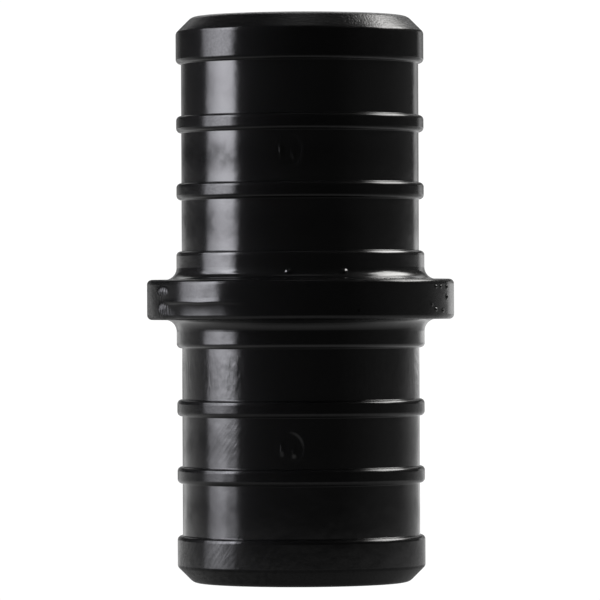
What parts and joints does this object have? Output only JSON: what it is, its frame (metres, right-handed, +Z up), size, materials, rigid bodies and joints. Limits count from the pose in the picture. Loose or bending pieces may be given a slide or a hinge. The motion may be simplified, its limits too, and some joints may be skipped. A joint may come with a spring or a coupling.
{
  "type": "barbed pipe coupling",
  "caption": "Straight barbed insert coupling that joins two plastic water pipes end to end, with ribbed ends, a central stop flange and an open waterway.",
  "frame": {"origin": "middle of the stop flange, on the axis of the waterway", "axes": "+Z up along the waterway, from the lower insert end to the upper one; the part is turned about Z, and X and Y are across it"},
  "size_m": [0.0276, 0.0276, 0.0508],
  "materials": {
    "black_polymer": "glossy injection-moulded black engineering polymer"
  },
  "bodies": {
    "root": {"upper_insert_end": "black_polymer", "stop_flange": "black_polymer", "lower_insert_end": "black_polymer"}
  },
  "joints": []
}
